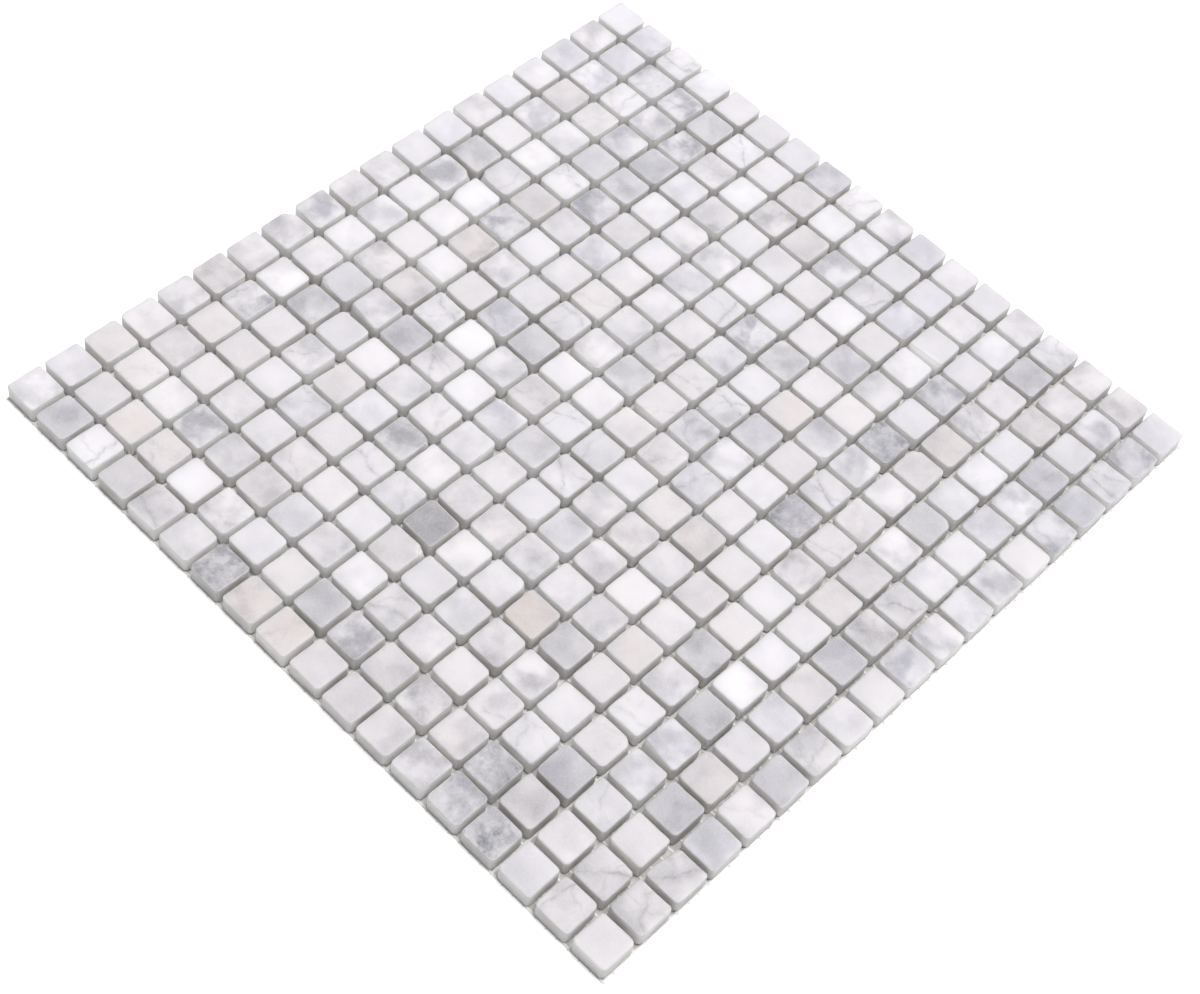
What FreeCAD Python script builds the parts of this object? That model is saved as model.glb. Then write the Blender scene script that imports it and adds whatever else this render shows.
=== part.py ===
"""A sheet of mosaic tile: square tumbled marble chips held in a grid by a net on their backs.

The sheet lies face up. Its origin is the middle of its underside, +X runs along a row of
chips, +Y along a column of chips, and +Z out of the face. All sizes are in millimetres.

The net lies lowest, as two layers of flat glass-fibre strands: the warp along Y, and the
weft along X on top of it. The chips stand on the weft with an open joint all round each
one, because the grout only goes in when the sheet has been laid.
"""

import FreeCAD, Part
import os

# Chips
CHIP_SIDE = 15.0
CHIP_THICKNESS = 7.5
CHIP_EASING = 0.9  # tumbling wears this much off the upright corners and the face's edges
JOINT_WIDTH = 2.0
COLUMN_COUNT = 18
ROW_COUNT = 19

# Backing net
NET_OVERHANG = 0.5  # past the outermost chips, on all four sides
NET_CELL = 5.0  # between strands, before it is fitted to a whole number of cells
WARP_WIDTH = 1.0
WARP_THICKNESS = 0.25
WEFT_WIDTH = 0.8
WEFT_THICKNESS = 0.25

# What follows from them
CHIP_PITCH = CHIP_SIDE + JOINT_WIDTH
CHIP_BACK_Z = WARP_THICKNESS + WEFT_THICKNESS
NET_LENGTH_X = COLUMN_COUNT * CHIP_PITCH - JOINT_WIDTH + 2 * NET_OVERHANG
NET_LENGTH_Y = ROW_COUNT * CHIP_PITCH - JOINT_WIDTH + 2 * NET_OVERHANG


def grid_places(count, pitch):
    """Centres of things set out at one pitch, with the middle of them all at 0."""
    return [(index - (count - 1) / 2) * pitch for index in range(count)]


def strand_places(net_length, strand_width):
    """Centres of strands across the net: one in the middle, the outermost flush with its edges."""
    half_span = (net_length - strand_width) / 2
    cells_each_side = round(half_span / NET_CELL)
    return grid_places(2 * cells_each_side + 1, half_span / cells_each_side)


def centred_block(size_x, size_y, thickness, bottom_z):
    """A rectangular block with its middle on the Z axis, standing on bottom_z."""
    corner = FreeCAD.Vector(-size_x / 2, -size_y / 2, bottom_z)
    return Part.makeBox(size_x, size_y, thickness, corner)


def make_chip():
    """One marble chip at the middle of the sheet, with a sawn back and its other edges worn off."""
    block = centred_block(CHIP_SIDE, CHIP_SIDE, CHIP_THICKNESS, CHIP_BACK_Z)
    middle_z = CHIP_BACK_Z + CHIP_THICKNESS / 2
    worn_edges = [edge for edge in block.Edges if edge.BoundBox.ZMax > middle_z]
    return block.makeChamfer(CHIP_EASING, worn_edges)


def copies_at(shape, places):
    """Copies of a shape, each moved from the middle of the sheet to one of the places."""
    return Part.makeCompound([shape.translated(FreeCAD.Vector(x, y, 0)) for x, y in places])


def make_warp():
    """The net's lower strands, which run the whole length of the sheet along Y."""
    strand = centred_block(WARP_WIDTH, NET_LENGTH_Y, WARP_THICKNESS, 0)
    return copies_at(strand, [(x, 0) for x in strand_places(NET_LENGTH_X, WARP_WIDTH)])


def make_weft():
    """The net's upper strands, which run the whole width of the sheet along X."""
    strand = centred_block(NET_LENGTH_X, WEFT_WIDTH, WEFT_THICKNESS, WARP_THICKNESS)
    return copies_at(strand, [(0, y) for y in strand_places(NET_LENGTH_Y, WEFT_WIDTH)])


def make_sheet():
    """Every piece of the sheet by name. Row 1 is the front row, at the lowest Y."""
    pieces = {"net_warp_strands": make_warp(), "net_weft_strands": make_weft()}
    chip = make_chip()
    for number, y in enumerate(grid_places(ROW_COUNT, CHIP_PITCH), start=1):
        places = [(x, y) for x in grid_places(COLUMN_COUNT, CHIP_PITCH)]
        pieces[f"chip_row_{number:02d}"] = copies_at(chip, places)
    return pieces


os.makedirs("parts", exist_ok=True)
for name, piece in make_sheet().items():
    piece.exportStep(f"parts/{name}.step")
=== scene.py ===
"""The looks of a sheet of mosaic: tumbled white marble chips on a glass-fibre net.

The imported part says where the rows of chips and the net's strands lie. Each row is dressed
with worn, slightly uneven chips of clouded and veined marble, and the two layers of strands
with woven yarns, the adhesive that soaks them, and the frayed ends round the sheet's edges.
Lengths are in metres, and MM turns a size in millimetres into them.
"""

import math

import bmesh
import bpy
import numpy as np
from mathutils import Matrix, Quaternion, Vector


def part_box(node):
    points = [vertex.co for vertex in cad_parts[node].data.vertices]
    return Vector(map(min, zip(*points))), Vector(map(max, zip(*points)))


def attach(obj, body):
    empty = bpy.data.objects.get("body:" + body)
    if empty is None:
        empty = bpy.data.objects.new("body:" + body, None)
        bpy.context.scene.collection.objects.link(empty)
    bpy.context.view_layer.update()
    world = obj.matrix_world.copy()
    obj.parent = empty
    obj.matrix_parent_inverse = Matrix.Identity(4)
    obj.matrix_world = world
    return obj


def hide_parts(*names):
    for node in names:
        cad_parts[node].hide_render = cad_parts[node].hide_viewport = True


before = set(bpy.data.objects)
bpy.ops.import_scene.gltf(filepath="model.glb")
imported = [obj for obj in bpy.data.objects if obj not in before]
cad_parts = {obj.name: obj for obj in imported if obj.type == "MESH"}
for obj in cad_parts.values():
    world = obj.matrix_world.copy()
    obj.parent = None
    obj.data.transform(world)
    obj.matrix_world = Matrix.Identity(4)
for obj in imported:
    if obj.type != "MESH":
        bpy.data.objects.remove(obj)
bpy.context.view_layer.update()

MM = 0.001
SEED = 7  # each piece draws from a stream of its own, [SEED, n], so no piece disturbs another
SMOOTH_BELOW = math.radians(50)  # a sharper edge than this is shaded as an edge

# The chips' own shape. Tumbling leaves no two of them alike.
EASING_RANGE = (0.40 * MM, 0.80 * MM)  # how far the wear reaches down and in from the face's edges
CORNER_RANGE = (1.2 * MM, 2.2 * MM)  # plan radius of an upright corner
BACK_EASING = 0.3 * MM
SIDE_JITTER = 0.14 * MM
PLACE_JITTER = 0.20 * MM
TURN_JITTER = math.radians(0.9)
TILT_JITTER = math.radians(0.45)
LOW_CHIP = 0.22 * MM  # how much thinner than the thickest chip one may be
WALL_RIPPLE = 0.05 * MM
FACE_RIPPLE = 0.022 * MM
WAVES = 5  # in one ripple
FACE_CREST = 2.24 * FACE_RIPPLE  # as high as they add up to: the square root of their number
EASING_UNEVENNESS = 0.22  # share by which the wear grows and shrinks round a chip
LEAST_CORNER = 0.3 * MM
WAVE_OF_EASING = 9 * MM
WAVE_OF_WALL = 8 * MM
WAVE_OF_FACE = 7 * MM
BROKEN_SHARE = 0.16  # of the chips have a corner or an edge knocked off
BROKEN_AT_CORNER = 0.6  # of those have it at a corner
CORNER_LOSS = (1.0, 1.9)  # mm in from the square's own corner
EDGE_LOSS = (0.1, 0.5)  # mm in from the side
LOSS_DEPTH = (0.5, 2.2)  # mm down from the face
LOSS_SLOPE = (0.4, 1.1)
LOSS_RIPPLE = 0.06 * MM
WAVE_OF_LOSS = 2.2 * MM

# Chips that stand out, by (column, row) from the sheet's front left corner
DARKEST_CHIPS = [(9, 5)]
MOTTLED_CHIPS = [(7, 1), (15, 1), (14, 2), (14, 11), (14, 14)]
GREY_CHIPS = [(2, 1), (4, 1), (11, 1), (2, 2), (9, 2), (5, 3), (15, 3), (17, 4), (13, 5), (16, 6),
              (18, 6), (3, 7), (15, 7), (3, 8), (5, 8), (17, 9), (7, 10), (2, 13), (16, 13), (4, 15),
              (5, 16), (18, 16), (5, 18), (15, 18), (8, 19)]
CLOUDED_CHIPS = [(14, 1), (10, 2), (12, 2), (4, 3), (2, 6), (7, 6), (4, 12), (5, 14), (10, 14),
                 (14, 16), (5, 17), (3, 18), (4, 18), (18, 18)]
VEINED_CHIPS = [(5, 1), (17, 1), (17, 2), (18, 2), (10, 3), (18, 3), (4, 6), (18, 7), (6, 8), (17, 11),
                (11, 12), (14, 12), (15, 16), (18, 17)]
CREAM_CHIPS = [(17, 5), (13, 9), (4, 13), (15, 14), (15, 15), (2, 16), (9, 17), (16, 17)]
CREAMIEST_CHIPS = [(12, 5)]
WHITEST_CHIPS = [(3, 3), (10, 5), (2, 7), (13, 7), (16, 7), (6, 9), (2, 11), (13, 11), (3, 12), (3, 14),
                 (6, 15), (16, 15), (11, 16), (7, 17), (9, 18), (14, 18), (4, 19)]

# What each kind is like: greyness, warmth (below 0 it is cool), cloudiness, veining and mottling.
# Each is a number, or a pair to draw it between.
KINDS = [
    (DARKEST_CHIPS, (0.60, 0.0, 0.4, 0.0, 0.3)),
    (MOTTLED_CHIPS, ((0.29, 0.37), -0.2, 0.5, 0.0, 0.85)),
    (GREY_CHIPS, ((0.28, 0.41), (-0.3, 0.0), (0.1, 0.6), 0.0, 0.0)),
    (CLOUDED_CHIPS, ((0.19, 0.24), (-0.2, 0.0), (0.7, 0.9), (0.0, 0.3), 0.3)),
    (VEINED_CHIPS, ((0.17, 0.26), (-0.1, 0.1), (0.2, 0.5), (0.36, 0.56), 0.0)),
    (CREAM_CHIPS, ((0.24, 0.34), (0.3, 0.5), 0.3, 0.0, 0.0)),
    (CREAMIEST_CHIPS, (0.32, 0.9, 0.5, 0.0, 0.0)),
    (WHITEST_CHIPS, ((0.02, 0.12), (-0.1, 0.1), (0.0, 0.25), 0.0, 0.0)),
]
# The other chips, as means and spreads
PLAIN_GREYNESS = (0.182, 0.050)
LEAST_GREYNESS = 0.05
PLAIN_WARMTH = (0.0, 0.17)
CLOUDIEST_PLAIN = 0.85
PLAIN_VEINED_SHARE = 0.20
PLAIN_VEINING = (0.14, 0.44)

# Painted light and shade: how the chips' tone changes from the middle of the sheet to its right and back
# edges, in place of light that is brighter towards the far back
GREYER_TO_RIGHT = 0.042
WHITER_TO_BACK = 0.028
COOLER_TO_BACK = 0.17


# Small helpers

def chip_rows():
    """The chip rows' nodes, front row first."""
    return sorted(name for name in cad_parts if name.startswith("chip_row_"))


def row_middle(name):
    """Where a chip row's middle lies along Y."""
    low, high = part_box(name)
    return (low.y + high.y) / 2


ROWS = chip_rows()
ROW_LOW, ROW_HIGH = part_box(ROWS[0])
PITCH = row_middle(ROWS[1]) - row_middle(ROWS[0])
CHIP_SIDE = ROW_HIGH.y - ROW_LOW.y
CHIP_BACK = ROW_LOW.z
CHIP_THICKNESS = ROW_HIGH.z - ROW_LOW.z
COLUMN_COUNT = round((ROW_HIGH.x - ROW_LOW.x - CHIP_SIDE) / PITCH) + 1
COLUMNS = [ROW_LOW.x + CHIP_SIDE / 2 + k * PITCH for k in range(COLUMN_COUNT)]


def ripple(points, wavelength, rng):
    """A smooth random field of about -1 to 1 at the points, made of a few waves through them."""
    directions = rng.normal(size=(WAVES, points.shape[-1]))
    directions /= np.linalg.norm(directions, axis=1, keepdims=True)
    lengths = wavelength * rng.uniform(0.6, 1.6, WAVES)
    phases = rng.uniform(0, 2 * math.pi, WAVES)
    angles = points @ (directions / lengths[:, None]).T * 2 * math.pi + phases
    return np.sin(angles).sum(-1) / math.sqrt(WAVES)


def make_piece(name, points, faces, material):
    """A mesh piece with smooth shading that breaks at sharp edges, riding on the part's one body."""
    mesh = bpy.data.meshes.new(name)
    mesh.from_pydata(points.tolist(), [], faces)
    mesh.shade_smooth()
    mesh.set_sharp_from_angle(angle=SMOOTH_BELOW)
    mesh.materials.append(material)
    piece = bpy.data.objects.new(name, mesh)
    bpy.context.scene.collection.objects.link(piece)
    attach(piece, "root")
    return piece


def tube_faces(start, around, rings):
    """The faces of a closed tube whose rings of points follow each other from the index start."""
    faces = [tuple(start + i for i in range(around))[::-1]]
    for k in range(rings - 1):
        low, high = start + k * around, start + (k + 1) * around
        for i in range(around):
            j = (i + 1) % around
            faces.append((low + i, low + j, high + j, high + i))
    faces.append(tuple(start + (rings - 1) * around + i for i in range(around)))
    return faces


def add_attribute(piece, name, kind, values):
    """Stores one value or vector for each point of the piece, for its material to read."""
    attribute = piece.data.attributes.new(name, kind, "POINT")
    key = "value" if kind == "FLOAT" else "vector"
    attribute.data.foreach_set(key, np.ascontiguousarray(values, np.float32).ravel())


# Material helpers

class Shader:
    """A material's node tree, built by short calls that return output sockets."""

    def __init__(self, name):
        self.material = bpy.data.materials.new(name)
        self.material.use_nodes = True
        self.tree = self.material.node_tree
        self.surface = self.tree.nodes["Principled BSDF"]

    def node(self, kind, inputs=(), **settings):
        """A node with some settings and inputs. An input is a number, a colour or another socket."""
        made = self.tree.nodes.new(kind)
        for key, value in settings.items():
            setattr(made, key, value)
        for key, value in dict(inputs).items():
            self.feed(made.inputs[key], value)
        return made

    def feed(self, socket, value):
        if isinstance(value, bpy.types.NodeSocket):
            self.tree.links.new(value, socket)
        else:
            socket.default_value = value

    def attribute(self, name, output="Vector"):
        return self.node("ShaderNodeAttribute", attribute_name=name).outputs[output]

    def parts(self, vector):
        """The three components of a vector."""
        split = self.node("ShaderNodeSeparateXYZ", {"Vector": vector})
        return split.outputs["X"], split.outputs["Y"], split.outputs["Z"]

    def noise(self, vector, scale, detail=3.0, roughness=0.5):
        """Smooth noise. The scale is per metre: at 100 its blots are about 10 mm across."""
        inputs = {"Vector": vector, "Scale": scale, "Detail": detail, "Roughness": roughness}
        return self.node("ShaderNodeTexNoise", inputs).outputs["Fac"]

    def stretched(self, vector, scale):
        """The vector with each component scaled on its own."""
        inputs = {"Vector": vector, "Scale": scale}
        return self.node("ShaderNodeMapping", inputs, vector_type="TEXTURE").outputs["Vector"]

    def fade(self, value, low, high, to_low=0.0, to_high=1.0):
        """A smooth step of the value from low to high."""
        inputs = {"Value": value, "From Min": low, "From Max": high, "To Min": to_low, "To Max": to_high}
        return self.node("ShaderNodeMapRange", inputs, interpolation_type="SMOOTHSTEP").outputs["Result"]

    def times(self, *values):
        """The product of some numbers."""
        product = values[0]
        for value in values[1:]:
            product = self.sum_of("MULTIPLY", product, value)
        return product

    def sum_of(self, operation, first, second=0.0, third=0.0):
        """One step of arithmetic on numbers, such as ADD or MULTIPLY."""
        made = self.node("ShaderNodeMath", operation=operation)
        for socket, value in zip(made.inputs, (first, second, third)):
            self.feed(socket, value)
        return made.outputs["Value"]

    def mix(self, share, first, second, blend="MIX"):
        """The first colour, with a share of the second mixed in or blended another way."""
        made = self.node("ShaderNodeMix", data_type="RGBA", blend_type=blend)
        self.feed(made.inputs["Factor"], share)
        for name, value in (("A", first), ("B", second)):
            socket = next(i for i in made.inputs if i.name == name and i.type == "RGBA")
            self.feed(socket, value)
        return next(o for o in made.outputs if o.type == "RGBA")

    def bump(self, height, distance, strength=1.0):
        inputs = {"Height": height, "Distance": distance, "Strength": strength}
        return self.node("ShaderNodeBump", inputs).outputs["Normal"]

    def finish(self, **inputs):
        """Feeds the surface's own inputs, with spaces in their names written as underscores."""
        for key, value in inputs.items():
            self.feed(self.surface.inputs[key.replace("_", " ")], value)
        return self.material


# Materials

WHITE = (0.965, 0.923, 0.957, 1)
SLATE = (0.155, 0.160, 0.180, 1)
CLOUD_SHADE = (0.50, 0.51, 0.54, 1)
VEIN_GREY = (0.20, 0.205, 0.23, 1)
CREAM = (0.65, 0.575, 0.55, 1)
COOL = (0.80, 0.82, 0.90, 1)
# whitish bruised stone, also the colour of a painted highlight along the chips' face edges
BRUISE_AND_HIGHLIGHT = (0.93, 0.92, 0.93, 1)
STONE_GLOW = 1.0  # share of the light that goes through the stone before it comes out
STONE_REACH = (6.0 * MM, 5.8 * MM, 5.4 * MM)
WALL_PAINTED_LIGHT = 0.10  # the power that takes the face's colours to the walls' paler ones, a painted light on the walls
WALL_TINT = (0.995, 0.985, 0.98, 1)
WALL_DULLEST = (0.79, 0.785, 0.78, 1)
ADHESIVE = (0.75, 0.72, 0.695, 1)
OLD_ADHESIVE = (0.60, 0.57, 0.53, 1)
SAWN_BACK = (0.60, 0.60, 0.615, 1)
SAWN_FROM = (0.26 * MM, 0.33 * MM)  # heights over which the chips' backs begin to show in the film
SAWN_TO = (0.40 * MM, 0.44 * MM)  # and cease to
GLASS_YARN = (0.82, 0.80, 0.775, 1)
YARN_SHADE = (0.66, 0.64, 0.615, 1)


def marble():
    """White marble, with the tone, clouds, veins and mottling that each chip carries, and painted light
    on its walls and, with bruising, along its face's edges.
    """
    s = Shader("tumbled_white_marble")
    at = s.attribute("stone_at")
    # the tone carries a painted drift of light and shade across the sheet
    greyness, warmth, cloudiness = s.parts(s.attribute("tone_and_painted_light"))
    off_vein, off_branch, veining = s.parts(s.attribute("stone_vein"))
    mottling = s.attribute("stone_mottling", "Fac")
    depth = s.attribute("chip_depth", "Fac")

    # Fields that the patterns are made of
    drift = s.noise(at, 60, 1, 0.4)
    haze = s.noise(s.stretched(at, (1.0, 2.2, 1.0)), 135, 2, 0.5)
    clouds = s.fade(s.noise(at, 88, 3, 0.50), 0.42, 0.68)
    blotches = s.noise(at, 280, 4, 0.60)
    wander = s.sum_of("SUBTRACT", s.noise(at, 75, 3, 0.55), 0.5)
    lines = []
    veins = [(off_vein, 13 * MM, 2.3 * MM, 1.0), (off_branch, 17 * MM, 1.5 * MM, 0.55)]
    for off, sway, width, strength in veins:
        distance = s.sum_of("ABSOLUTE", s.sum_of("MULTIPLY_ADD", wander, sway, off))
        core = s.fade(distance, 0.0, 0.32 * width, 0.46 * strength, 0.0)
        lines.append(s.sum_of("ADD", core, s.fade(distance, 0.0, width, 0.5 * strength, 0.0)))
    vein = s.sum_of("MAXIMUM", *lines)

    # The stone's own grey, with soft clouds in it
    colour = s.mix(greyness, WHITE, SLATE)
    unevenness = s.fade(cloudiness, 0.0, 0.4, 0.3, 1.0)
    wide_clouds = s.times(unevenness, s.fade(drift, 0.34, 0.66, 0.0, 0.34))
    thin_clouds = s.times(unevenness, s.fade(haze, 0.44, 0.72, 0.0, 0.26))
    for share in (wide_clouds, thin_clouds, s.times(clouds, cloudiness)):
        colour = s.mix(share, colour, CLOUD_SHADE, "MULTIPLY")

    # Mottling: threads where two of the fields cross their middle, and blots between them
    off_thread = s.sum_of("ABSOLUTE", s.sum_of("SUBTRACT", haze, 0.5))
    threads = s.sum_of("MAXIMUM", s.fade(s.sum_of("ABSOLUTE", wander), 0.0, 0.020, 0.62, 0.0),
                       s.fade(off_thread, 0.0, 0.028, 0.55, 0.0))
    specks = s.sum_of("MAXIMUM", threads, s.fade(blotches, 0.38, 0.62, 0.0, 0.90))
    mottle = s.times(specks, s.fade(clouds, 0.0, 0.8, 0.5, 1.0), mottling)
    colour = s.mix(mottle, colour, VEIN_GREY)

    # Veins, then the stone's warmth
    broken_up = s.fade(blotches, 0.34, 0.62, 0.25, 1.0)
    colour = s.mix(s.times(vein, veining, broken_up), colour, VEIN_GREY)
    colour = s.mix(s.times(warmth, s.fade(drift, 0.35, 0.62, 1.0, 0.55)), colour, CREAM)
    colour = s.mix(s.times(warmth, -1.0), colour, COOL, "MULTIPLY")

    # Fine crystals, and a lighter rim along the face's edges: partly the bruising that tumbling leaves,
    # partly a painted highlight
    crystals = s.noise(at, 1500, 1, 0.6)
    colour = s.mix(s.fade(crystals, 0.35, 0.70, 0.0, 0.12), colour, BRUISE_AND_HIGHLIGHT)
    # painted highlight, with some bruising: a lighter band on the wear just below the face's edges
    bruise_and_highlight_rim = s.times(s.fade(depth, 0.002, 0.012), s.fade(depth, 0.03, 0.07, 1.0, 0.0), 0.30)
    colour = s.mix(bruise_and_highlight_rim, colour, BRUISE_AND_HIGHLIGHT)

    # The walls are paler, a painted light in place of the light that reaches into the joints; duller on
    # grey chips and here and there, and smeared at the foot
    on_wall = s.times(s.fade(depth, 0.04, 0.12), s.fade(blotches, 0.3, 0.7, 0.88, 1.0))
    # painted light: the walls' colours lifted towards white
    wall = s.node("ShaderNodeGamma", {"Color": colour, "Gamma": WALL_PAINTED_LIGHT}).outputs["Color"]
    wall = s.mix(1.0, wall, WALL_TINT, "MULTIPLY")
    dull_patches = s.fade(s.noise(at, 42, 1, 0.3), 0.36, 0.54, 0.95, 0.0)
    for share in (s.fade(greyness, 0.12, 0.46), dull_patches):
        wall = s.mix(share, wall, WALL_DULLEST, "MULTIPLY")
    colour = s.mix(on_wall, colour, wall)
    smear = s.times(s.fade(depth, 0.86, 0.99), s.fade(blotches, 0.42, 0.58))
    colour = s.mix(smear, colour, ADHESIVE)

    wear = s.bump(s.noise(at, 700, 2, 0.55), 0.10 * MM, 0.30)
    roughness = s.fade(clouds, 0.0, 1.0, 0.52, 0.64)
    return s.finish(Base_Color=colour, Roughness=roughness, Normal=wear, IOR=1.5,
                    Subsurface_Weight=STONE_GLOW, Subsurface_Scale=1.0, Subsurface_Radius=STONE_REACH)


def adhesive():
    """The dried whitish adhesive on the net and at the chips' feet."""
    s = Shader("dried_adhesive")
    at = s.node("ShaderNodeTexCoord").outputs["Object"]
    tint = s.fade(s.noise(at, 260, 3), 0.42, 0.72)
    colour = s.mix(tint, ADHESIVE, OLD_ADHESIVE)
    height = s.parts(at)[2]
    pressed = s.times(s.fade(height, *SAWN_FROM), s.fade(height, *SAWN_TO, 1.0, 0.0))
    wiped = s.fade(s.noise(at, 110, 3, 0.55), 0.44, 0.60, 0.0, 0.7)
    colour = s.mix(s.times(pressed, wiped), colour, SAWN_BACK)
    grit = s.noise(at, 1500, 3, 0.6)
    colour = s.mix(s.fade(grit, 0.5, 0.75, 0.0, 0.4), colour, BRUISE_AND_HIGHLIGHT)
    roughness = s.fade(tint, 0.0, 1.0, 0.58, 0.42)
    crust = s.bump(grit, 0.10 * MM, 0.6)
    return s.finish(Base_Color=colour, Roughness=roughness, Normal=crust, IOR=1.47)


def glass_yarn():
    """Glass-fibre yarn: fine filaments along it, stiffened with adhesive."""
    s = Shader("glass_fibre_yarn")
    along = s.attribute("yarn_at")
    at = s.node("ShaderNodeTexCoord").outputs["Object"]
    filaments = s.noise(s.stretched(along, (1.0, 24.0, 1.0)), 9000, 2, 0.6)
    colour = s.mix(s.fade(filaments, 0.35, 0.65), YARN_SHADE, GLASS_YARN)
    colour = s.mix(s.fade(s.noise(at, 300, 3), 0.48, 0.66, 0.0, 0.6), colour, ADHESIVE)
    roughness = s.fade(filaments, 0.3, 0.7, 0.36, 0.52)
    fibres = s.bump(filaments, 0.05 * MM, 0.8)
    return s.finish(Base_Color=colour, Roughness=roughness, Normal=fibres, IOR=1.5)


MARBLE = marble()
GLUE = adhesive()
YARN = glass_yarn()


# Marble chips

VEIN_PLACES = 4.5  # mm from a chip's middle, at most, where its veins cross its face
BRANCH_TURN = (0.6, 1.2)  # radians between a vein and its branch
VEIN_LEAN = 0.3  # of the veins' planes from upright
FIRST_WALL_RING = 0.06  # share of the wall's height
SIDE_STEPS = 14
CORNER_STEPS = 3
CORNER_ZONE = 0.80  # share of the half side where the corners' closer steps begin
WEAR_ANGLES = np.radians([0, 20, 40, 60, 78, 90])


def side_marks():
    """Where the grid lines cross a side, from -1 to 1, closer together near the corners."""
    corner = np.linspace(CORNER_ZONE, 1, CORNER_STEPS + 1)
    middle = np.linspace(-CORNER_ZONE, CORNER_ZONE, SIDE_STEPS - 2 * CORNER_STEPS + 1)
    return np.concatenate([-corner[::-1], middle[1:-1], corner])


class ChipTemplate:
    """The grid that every chip is shaped from: rings up its sides and over the wear, then its face.

    across is each point's place on the plan square, from -1 to 1. inward and drop are how much of
    the easing it lies in from the side and down from the face. foot and rise place the rings below
    the wear, as an inset and as a share of the wall's height.
    """

    def __init__(self):
        marks = side_marks()
        low, high = np.full(SIDE_STEPS, -1.0), np.full(SIDE_STEPS, 1.0)
        sides = [(marks[:-1], low), (high, marks[:-1]), (-marks[:-1], high), (low, -marks[:-1])]
        ring = np.array([point for xs, ys in sides for point in zip(xs, ys)])
        self.ring_size = len(ring)
        walls = [(BACK_EASING, 0.0), (0.0, FIRST_WALL_RING), (0.0, 0.5)]
        rings, faces = [], []
        for inset, rise in walls:
            rings.append((ring, 0.0, 1.0, inset, rise))
        for angle in WEAR_ANGLES:
            rings.append((ring, 1 - math.cos(angle), 1 - math.sin(angle), 0.0, 1.0))
        inner = np.array([(x, y) for y in marks[1:-1] for x in marks[1:-1]])
        rings.append((inner, 1.0, 0.0, 0.0, 1.0))
        self.across = np.concatenate([r[0] for r in rings])
        self.inward, self.drop, self.foot, self.rise = (
            np.concatenate([np.full(len(r[0]), r[k]) for r in rings]) for k in (1, 2, 3, 4))
        self.faces = self.ring_faces(len(rings) - 1) + self.face_faces(len(rings) - 2)

    def ring_faces(self, ring_count):
        count = self.ring_size
        faces = [tuple(range(count))[::-1]]
        for k in range(ring_count - 1):
            for i in range(count):
                j = (i + 1) % count
                faces.append((k * count + i, k * count + j, (k + 1) * count + j, (k + 1) * count + i))
        return faces

    def face_faces(self, last_ring):
        """The face's grid, which meets the last ring along its border."""
        n, start = SIDE_STEPS, last_ring * self.ring_size
        inner_start = start + self.ring_size

        def point(i, j):
            if j == 0:
                return start + i
            if i == n:
                return start + n + j
            if j == n:
                return start + 3 * n - i
            if i == 0:
                return start + (4 * n - j) % (4 * n)
            return inner_start + (j - 1) * (n - 1) + i - 1
        return [(point(i, j), point(i + 1, j), point(i + 1, j + 1), point(i, j + 1))
                for j in range(n) for i in range(n)]


TEMPLATE = ChipTemplate()


def round_corners(plan, half, radius):
    """Plan points of a square of the given half side, pushed onto rounds at its corners."""
    core = half - radius
    past = np.maximum(np.abs(plan) - core[:, None], 0)
    reach = np.linalg.norm(past, axis=1)
    shrink = np.where(reach > 0, past.max(1) / np.where(reach > 0, reach, 1), 1)
    kept = np.minimum(np.abs(plan), core[:, None])
    return np.sign(plan) * (kept + past * shrink[:, None])


def knock_off(points, rng):
    """Cuts the points back to a slanting plane near one upper corner or edge."""
    turn = rng.choice([0, 1, 2, 3]) * math.pi / 2
    if rng.random() < BROKEN_AT_CORNER:
        turn += math.pi / 4 + rng.normal(0, 0.2)
        reach = CHIP_SIDE / 2 * math.sqrt(2) - rng.uniform(*CORNER_LOSS) * MM
    else:
        turn += rng.normal(0, 0.12)
        reach = CHIP_SIDE / 2 - rng.uniform(*EDGE_LOSS) * MM
    slope = rng.uniform(*LOSS_SLOPE)
    normal = np.array([math.cos(turn), math.sin(turn), slope])
    normal /= np.linalg.norm(normal)
    level = normal[:2] @ np.array([math.cos(turn), math.sin(turn)]) * reach
    level += normal[2] * (CHIP_THICKNESS - rng.uniform(*LOSS_DEPTH) * MM)
    over = points @ normal - level - LOSS_RIPPLE * ripple(points, WAVE_OF_LOSS, rng)
    return points - np.maximum(over, 0)[:, None] * normal


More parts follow.
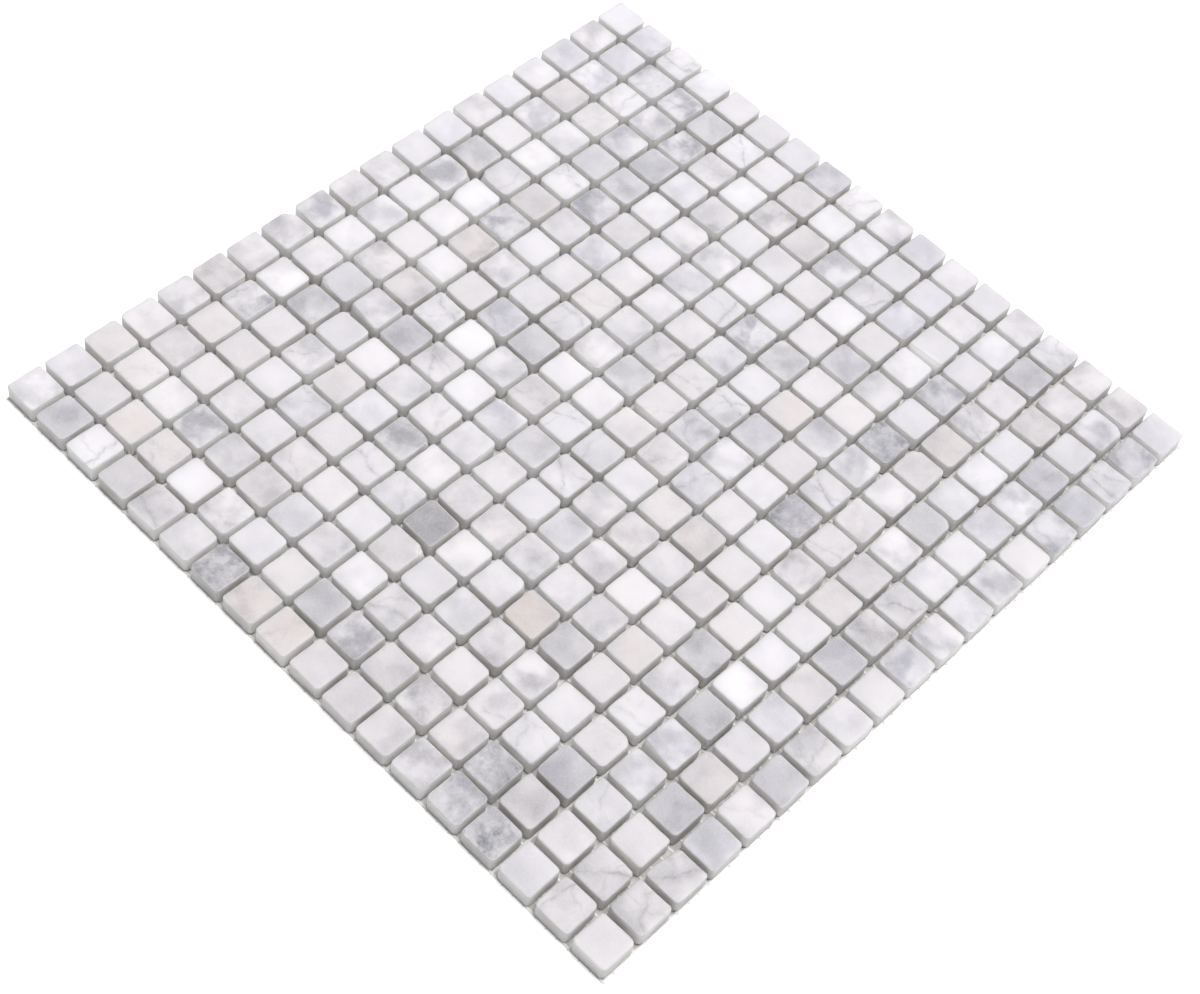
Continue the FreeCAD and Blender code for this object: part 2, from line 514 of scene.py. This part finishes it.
def make_chip(rng):
    """One chip's points about the middle of its back, and how deep each lies below its face."""
    t = TEMPLATE
    size = CHIP_SIDE / 2 + rng.normal(0, SIDE_JITTER / 2, 2).clip(-SIDE_JITTER, SIDE_JITTER)
    height = CHIP_THICKNESS - FACE_CREST - rng.uniform(0, LOW_CHIP)
    field = t.across * CHIP_SIDE / 2
    easing = rng.uniform(*EASING_RANGE) * (1 + EASING_UNEVENNESS * ripple(field, WAVE_OF_EASING, rng))
    inset = easing * t.inward + t.foot
    half = CHIP_SIDE / 2 - inset
    quadrant = (t.across[:, 0] > 0) * 2 + (t.across[:, 1] > 0)
    corners = rng.uniform(*CORNER_RANGE, 4)[quadrant]
    radius = np.maximum(corners - 0.8 * inset, LEAST_CORNER)
    plan = round_corners(t.across * half[:, None], half, radius)
    plan *= size / (CHIP_SIDE / 2)
    up = t.rise * (height - easing) + easing * (1 - t.drop) * (t.rise == 1)
    points = np.column_stack([plan, up])

    outward = np.linalg.norm(plan, axis=1, keepdims=True)
    outward = plan / np.maximum(outward, 1e-6)
    edge = np.abs(t.across).max(1) ** 6
    points[:, :2] += outward * (WALL_RIPPLE * ripple(points, WAVE_OF_WALL, rng) * edge)[:, None]
    points[:, 2] += FACE_RIPPLE * ripple(points[:, :2], WAVE_OF_FACE, rng) * (t.rise == 1)
    if rng.random() < BROKEN_SHARE:
        points = knock_off(points, rng)

    depth = (height - points[:, 2]) / CHIP_THICKNESS
    slope = rng.normal(0, TILT_JITTER / 2, 2).clip(-TILT_JITTER, TILT_JITTER)
    lift = points[:, :2] @ slope - np.abs(slope).sum() * CHIP_SIDE / 2
    points[:, 2] += lift * (points[:, 2] / CHIP_THICKNESS)
    skew = rng.normal(0, TURN_JITTER / 2, 2)
    x, y = points[:, 0], points[:, 1]
    turned = np.column_stack([x - y * skew[0], y + x * skew[1]])
    points[:, :2] = turned + rng.normal(0, PLACE_JITTER / 2, 2)
    return points, depth


def tone_with_painted_light(greyness, warmth, cloudiness, x, y):
    """A chip's tone where it lies, with painted light and shade: greyer to the sheet's right, whiter and
    cooler to its back.
    """
    right, back = x / COLUMNS[-1], y / row_middle(ROWS[-1])
    greyness = max(0.0, greyness + GREYER_TO_RIGHT * right - WHITER_TO_BACK * back)
    return greyness, warmth - COOLER_TO_BACK * back, cloudiness


def chip_look(column, row, rng):
    """A chip's greyness, warmth, cloudiness, veining and mottling."""
    for places, look in KINDS:
        if (column, row) in places:
            return [rng.uniform(*part) if isinstance(part, tuple) else part for part in look]
    greyness = max(LEAST_GREYNESS, rng.normal(*PLAIN_GREYNESS))
    veining = rng.uniform(*PLAIN_VEINING) if rng.random() < PLAIN_VEINED_SHARE else 0.0
    return greyness, rng.normal(*PLAIN_WARMTH), CLOUDIEST_PLAIN * rng.beta(1.0, 2.2), veining, 0.0


def vein_distances(shape, rng):
    """How far a chip's points lie from two planes that cross it, for its vein and the vein's branch."""
    turn = rng.uniform(0, math.pi)
    distances = []
    for angle in (turn, turn + rng.uniform(*BRANCH_TURN)):
        normal = np.array([math.cos(angle), math.sin(angle), rng.normal(0, VEIN_LEAN)])
        through = (*rng.uniform(-VEIN_PLACES, VEIN_PLACES, 2) * MM, CHIP_THICKNESS)
        distances.append((shape - through) @ normal / np.linalg.norm(normal))
    return distances


def random_turn(rng):
    """A rotation matrix that points a chip's stone any way up."""
    matrix, _ = np.linalg.qr(rng.normal(size=(3, 3)))
    return matrix


def dress_row(number, node):
    """All the chips of one row, as one piece that stands for the row's plain solids."""
    rng = np.random.default_rng([SEED, number])
    points, depths, stone, tones, veins, mottling, faces = [], [], [], [], [], [], []
    for column, x in enumerate(COLUMNS, start=1):
        shape, depth = make_chip(rng)
        *tone, vein_share, mottle_share = chip_look(column, number, rng)
        start = len(points) * len(shape)
        points.append(shape + (x, row_middle(node), CHIP_BACK))
        depths.append(depth)
        stone.append(shape @ random_turn(rng).T + rng.uniform(-1, 1, 3))
        # painted light and shade: the tone drifts across the sheet
        tones.append(np.tile(tone_with_painted_light(*tone, x, row_middle(node)), (len(shape), 1)))
        veins.append(np.column_stack([*vein_distances(shape, rng), np.full(len(shape), vein_share)]))
        mottling.append(np.full(len(shape), mottle_share))
        faces += [tuple(start + i for i in face) for face in TEMPLATE.faces]
    piece = make_piece(f"marble_{node}", np.concatenate(points), faces, MARBLE)
    add_attribute(piece, "chip_depth", "FLOAT", np.concatenate(depths))
    add_attribute(piece, "stone_at", "FLOAT_VECTOR", np.concatenate(stone))
    add_attribute(piece, "tone_and_painted_light", "FLOAT_VECTOR", np.concatenate(tones))
    add_attribute(piece, "stone_vein", "FLOAT_VECTOR", np.concatenate(veins))
    add_attribute(piece, "stone_mottling", "FLOAT", np.concatenate(mottling))
    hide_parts(node)


for row_number, row_node in enumerate(ROWS, start=1):
    dress_row(row_number, row_node)


# Net

def strand_lines(node, axis):
    """The middles of a net layer's strands across the given axis, and one strand's width."""
    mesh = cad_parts[node].data
    places = np.unique(np.round([v.co[axis] for v in mesh.vertices], 6))
    return (places[0::2] + places[1::2]) / 2, places[1] - places[0]


WARP, _ = strand_lines("net_warp_strands", 0)
WEFT, WEFT_WIDTH = strand_lines("net_weft_strands", 1)
NET_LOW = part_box("net_warp_strands")[0]
NET_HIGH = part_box("net_weft_strands")[1]
NET_MIDDLE = (NET_LOW.z + NET_HIGH.z) / 2
WEFT_CELL = WEFT[1] - WEFT[0]
WARP_CELL = WARP[1] - WARP[0]
YARN_WIDTH = 0.5 * MM
YARN_THICKNESS = 0.17 * MM
WARP_SWING = 0.33 * MM  # of each warp yarn to either side of its strand's middle
WARP_RISE = 0.16 * MM  # of each warp yarn over and under the weft
WARP_SLACK = (0.8, 1.1)  # share of that swing that one yarn takes
WANDER = 0.25 * MM  # of a strand from its straight line
WARP_WAVE = 40 * MM
WEFT_WAVE = 30 * MM
WIDTH_WAVE = 6 * MM
EDGE_INSET = 0.35 * MM  # from the net's edge to the outermost yarns
YARN_UNEVENNESS = 0.15  # share by which a yarn's width grows and shrinks
FRAY = ([0.1, -0.5], [0.6, 1.2])  # mm by which weft ends move in +X, on the left and on the right


def flat_yarns(centres, widths, thickness, sides, along_axis):
    """Closed flattened tubes round the centre lines, which run along X (0) or Y (1)."""
    strands, steps, _ = centres.shape
    angles = np.arange(sides) * 2 * math.pi / sides
    across = np.zeros((sides, 3))
    across[:, 1 - along_axis] = np.cos(angles) / 2
    offsets = across[None, None] * widths[..., None, None]
    offsets[..., 2] += np.sin(angles) / 2 * thickness
    points = (centres[:, :, None, :] + offsets).reshape(-1, 3)
    faces = []
    for k in range(strands):
        faces += tube_faces(k * steps * sides, sides, steps)
    around = np.broadcast_to(angles / (2 * math.pi) * widths.mean() * 2, (strands, steps, sides))
    along = np.broadcast_to(centres[:, :, None, along_axis], around.shape)
    strand = np.broadcast_to(np.arange(strands)[:, None, None] * 0.1, around.shape)
    yarn_at = np.stack([around, along, strand], -1).reshape(-1, 3)
    return points, faces, yarn_at


def make_yarns(name, node, centres, widths, sides, along_axis):
    points, faces, yarn_at = flat_yarns(centres, widths, YARN_THICKNESS, sides, along_axis)
    piece = make_piece(name, points, faces, YARN)
    add_attribute(piece, "yarn_at", "FLOAT_VECTOR", yarn_at)
    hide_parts(node)


def warp_yarns(side, name):
    """One yarn of every warp pair. The two turn about each other by half a turn in each cell."""
    rng = np.random.default_rng([SEED, 100 + side])
    ends = (NET_LOW.y, NET_HIGH.y)
    steps_per_cell = 4
    steps = round((ends[1] - ends[0]) / WEFT_CELL * steps_per_cell) + 1
    along = np.linspace(*ends, steps)
    phase = math.pi * (along - WEFT[0]) / WEFT_CELL + math.pi / 2
    centres = np.zeros((len(WARP), steps, 3))
    for k, x in enumerate(WARP):
        shared = np.random.default_rng([SEED, 200 + k])
        centres[k, :, 0] = x + WANDER * ripple(along[:, None], WARP_WAVE, shared)
        centres[k, :, 0] += side * WARP_SWING * np.cos(phase) * rng.uniform(*WARP_SLACK)
    centres[:, :, 1] = along
    centres[:, :, 2] = NET_MIDDLE + side * WARP_RISE * np.sin(phase)
    keep_in = NET_HIGH.x - EDGE_INSET - YARN_WIDTH / 2
    centres[:, :, 0] = centres[:, :, 0].clip(-keep_in, keep_in)
    widths = YARN_WIDTH * (1 + YARN_UNEVENNESS * ripple(centres, WIDTH_WAVE, rng))
    make_yarns(name, "net_warp_strands", centres, widths, 4, 1)


def weft_yarns():
    """The flat weft yarns, which lie between the two yarns of each warp pair."""
    rng = np.random.default_rng([SEED, 300])
    steps_per_cell = 2
    steps = round((NET_HIGH.x - NET_LOW.x) / WARP_CELL * steps_per_cell) + 1
    centres = np.zeros((len(WEFT), steps, 3))
    for k, y in enumerate(WEFT):
        ends = rng.uniform(*FRAY) * MM
        centres[k, :, 0] = np.linspace(NET_LOW.x + ends[0], NET_HIGH.x + ends[1], steps)
        centres[k, :, 1] = y + WANDER * ripple(centres[k, :, :1], WEFT_WAVE, rng)
    keep_in = NET_HIGH.y - EDGE_INSET - WEFT_WIDTH / 2
    centres[:, :, 1] = centres[:, :, 1].clip(-keep_in, keep_in)
    centres[:, :, 2] = NET_MIDDLE
    widths = WEFT_WIDTH * (1 + YARN_UNEVENNESS * ripple(centres, WIDTH_WAVE, rng))
    make_yarns("net_weft_yarns", "net_weft_strands", centres, widths, 6, 0)


warp_yarns(1, "net_warp_yarns_a")
warp_yarns(-1, "net_warp_yarns_b")
weft_yarns()


# Adhesive

BEAD_SHARE = 0.12  # of the crossings have a bead
BEAD_SIZES = ([0.5, 0.4, 0.15], [1.1, 0.8, 0.32])  # smallest and largest half sizes, mm
CRUMB_SIZES = ([0.25, 0.3, 0.15], [0.55, 0.9, 0.45])
FEWEST_CRUMBS = 0.3  # on average, in the joint beside one chip
MORE_CRUMBS = 1.5  # that this grows by towards the last column
LAST_CLEAN_COLUMN = 12
LUMPINESS = 0.30
LUMP_UP = 0.15 * MM  # of a lump's middle over the net's
LUMP_FOOT = 0.05 * MM  # above the floor
BEAD_SPREAD = 0.4 * MM
CRUMB_SPREAD = 0.35 * MM  # across the joint
CRUMB_REACH = 7  # mm along it, from the middle of the chip beside it
FILM_SQUARENESS = 0.72
FILM_SIZE = 0.985  # share of the chip's
FILM_UNEVENNESS = 0.03  # share by which its outline goes in and out
FILM_RIPPLE = 0.03 * MM  # of its height
FILM_POINTS = 32
FILM_RINGS = [  # share of the patch's outline, height above the floor
    (0.55, 0.38 * MM),
    (0.90, 0.33 * MM),
    (0.985, 0.20 * MM),
    (1.0, 0.26 * MM),
    (0.98, CHIP_BACK + 0.04 * MM),
    (0.93, CHIP_BACK + 0.10 * MM),
]


def film_patches():
    """A thin irregular patch of adhesive under every chip, which shows at the foot of its walls."""
    rng = np.random.default_rng([SEED, 400])
    angles = np.arange(FILM_POINTS) * 2 * math.pi / FILM_POINTS
    circle = np.column_stack([np.cos(angles), np.sin(angles)])
    square = circle / np.abs(circle).max(1, keepdims=True)
    rounded = FILM_SQUARENESS * square + (1 - FILM_SQUARENESS) * circle
    points, faces = [], []
    for node in ROWS:
        for x in COLUMNS:
            middle = np.array([x, row_middle(node)])
            reach = CHIP_SIDE / 2 * (FILM_SIZE + FILM_UNEVENNESS * ripple(circle, 1.2, rng))
            outline = rounded * reach[:, None]
            start = len(points) * FILM_POINTS
            for scale, z in FILM_RINGS:
                ring = np.column_stack([middle + outline * scale, np.full(FILM_POINTS, z)])
                ring[:, 2] += FILM_RIPPLE * ripple(ring[:, :2], 3 * MM, rng)
                points.append(ring)
            faces += tube_faces(start, FILM_POINTS, len(FILM_RINGS))
    make_piece("adhesive_film", np.concatenate(points), faces, GLUE)


def unit_lump():
    """A small faceted ball, as points and faces."""
    made = bmesh.new()
    bmesh.ops.create_icosphere(made, subdivisions=2, radius=1.0)
    made.verts.index_update()
    points = np.array([v.co for v in made.verts])
    faces = [tuple(v.index for v in face.verts) for face in made.faces]
    made.free()
    return points, faces


def lump_places(rng):
    """Middles and half sizes of the lumps of adhesive in the joints.

    Some lie where joints cross. More lie as crumbs along the joints between columns, most of them
    in the columns on the right.
    """
    middles = [row_middle(node) for node in ROWS]
    clean_until = COLUMNS[LAST_CLEAN_COLUMN - 1]
    for x in COLUMNS[:-1]:
        joint = x + PITCH / 2
        for y in middles[:-1]:
            if rng.random() < BEAD_SHARE:
                spot = rng.normal(0, BEAD_SPREAD, 2)
                yield (joint + spot[0], y + PITCH / 2 + spot[1]), rng.uniform(*BEAD_SIZES)
        crumbs = FEWEST_CRUMBS + MORE_CRUMBS * max(0.0, (x - clean_until) / (COLUMNS[-1] - clean_until))
        for y in middles:
            for _ in range(rng.poisson(crumbs)):
                across = joint + rng.normal(0, CRUMB_SPREAD)
                yield (across, y + rng.uniform(-CRUMB_REACH, CRUMB_REACH) * MM), rng.uniform(*CRUMB_SIZES)


def glue_lumps():
    """Beads and crumbs of adhesive squeezed into the joints."""
    rng = np.random.default_rng([SEED, 500])
    ball, ball_faces = unit_lump()
    points, faces = [], []
    for (x, y), half_size in lump_places(rng):
        shape = ball * (1 + LUMPINESS * ripple(ball, 1.7, rng))[:, None] * half_size * MM
        turn = rng.uniform(0, 2 * math.pi)
        c, s = math.cos(turn), math.sin(turn)
        shape[:, :2] = shape[:, :2] @ [[c, s], [-s, c]]
        shape += (x, y, NET_MIDDLE + LUMP_UP)
        shape[:, 2] = np.maximum(shape[:, 2], NET_LOW.z + LUMP_FOOT)
        start = len(points) * len(ball)
        points.append(shape)
        faces += [tuple(start + i for i in face) for face in ball_faces]
    make_piece("adhesive_beads", np.concatenate(points), faces, GLUE)


film_patches()
glue_lumps()


# Stage, light and camera

CAMERA_AT = Vector((283.4, -406.8, 652.4)) * MM
CAMERA_AIM = Vector((23.7, -31.8, 8.0)) * MM
CAMERA_ROLL = math.radians(11.85)
CAMERA_LENS = 65.5  # mm, on a sensor 36 mm wide
FLOOR_HALF = 4.0
# painted shade: the floor is darker where the sheet covers it
FLOOR_PAINTED_SHADE = (0.54, 0.525, 0.51, 1)
FLOOR_WHITE = (0.75, 0.75, 0.75, 1)
FLOOR_TURNS_WHITE = (-1.2 * MM, 0.3 * MM)  # past the sheet's edges
FLOOR_GLOW = 0.47  # seen only past those edges, where it keeps the floor white round a soft shadow
SKY_LEVEL = 0.15
SUN_LEVEL = 1.01  # what the sun adds to a level surface
SUN_TILT = math.radians(11)
SUN_FROM = math.radians(58)  # anticlockwise from +X
SUN_SOFTNESS = math.radians(32)  # how wide it looks from the sheet


def make_floor():
    mesh = bpy.data.meshes.new("floor")
    corners = [(-FLOOR_HALF, -FLOOR_HALF, 0), (FLOOR_HALF, -FLOOR_HALF, 0),
               (FLOOR_HALF, FLOOR_HALF, 0), (-FLOOR_HALF, FLOOR_HALF, 0)]
    mesh.from_pydata(corners, [], [(0, 1, 2, 3)])
    floor = bpy.data.objects.new("floor", mesh)
    bpy.context.scene.collection.objects.link(floor)
    s = Shader("white_floor")
    rays = s.node("ShaderNodeLightPath")
    seen = s.sum_of("MAXIMUM", rays.outputs["Is Camera Ray"], rays.outputs["Is Glossy Ray"])
    x, y, _ = s.parts(s.node("ShaderNodeTexCoord").outputs["Object"])
    past_side = s.sum_of("SUBTRACT", s.sum_of("ABSOLUTE", x), NET_HIGH.x)
    past_end = s.sum_of("SUBTRACT", s.sum_of("ABSOLUTE", y), NET_HIGH.y)
    clear = s.fade(s.sum_of("MAXIMUM", past_side, past_end), *FLOOR_TURNS_WHITE)
    # painted shade under the sheet, white past its edges
    colour = s.mix(clear, FLOOR_PAINTED_SHADE, FLOOR_WHITE)
    s.finish(Base_Color=colour, Roughness=1.0, Specular_IOR_Level=0.0,
             Emission_Color=(1, 1, 1, 1), Emission_Strength=s.times(seen, clear, FLOOR_GLOW))
    mesh.materials.append(s.material)


def make_sky():
    world = bpy.data.worlds.new("studio")
    world.use_nodes = True
    tree = world.node_tree
    background = tree.nodes["Background"]
    rays = tree.nodes.new("ShaderNodeLightPath")
    level = tree.nodes.new("ShaderNodeMapRange")
    level.inputs["To Min"].default_value = SKY_LEVEL
    level.inputs["To Max"].default_value = 1.0
    tree.links.new(rays.outputs["Is Camera Ray"], level.inputs["Value"])
    tree.links.new(level.outputs["Result"], background.inputs["Strength"])
    background.inputs["Color"].default_value = (1, 1, 1, 1)
    bpy.context.scene.world = world


def make_sun():
    light = bpy.data.lights.new("soft_overhead", "SUN")
    light.angle = SUN_SOFTNESS
    light.energy = SUN_LEVEL * math.pi / math.cos(SUN_TILT)
    sun = bpy.data.objects.new("soft_overhead", light)
    across = math.sin(SUN_TILT)
    towards = Vector((across * math.cos(SUN_FROM), across * math.sin(SUN_FROM), math.cos(SUN_TILT)))
    sun.rotation_euler = towards.to_track_quat("Z", "Y").to_euler()
    bpy.context.scene.collection.objects.link(sun)


def make_camera():
    data = bpy.data.cameras.new("camera")
    data.lens = CAMERA_LENS
    camera = bpy.data.objects.new("camera", data)
    camera.location = CAMERA_AT
    level = (CAMERA_AIM - CAMERA_AT).to_track_quat("-Z", "Y")
    camera.rotation_mode = "QUATERNION"
    camera.rotation_quaternion = level @ Quaternion((0, 0, 1), CAMERA_ROLL)
    bpy.context.scene.collection.objects.link(camera)
    bpy.context.scene.camera = camera


make_floor()
make_sky()
make_sun()
make_camera()
bpy.context.scene.view_settings.view_transform = "Standard"
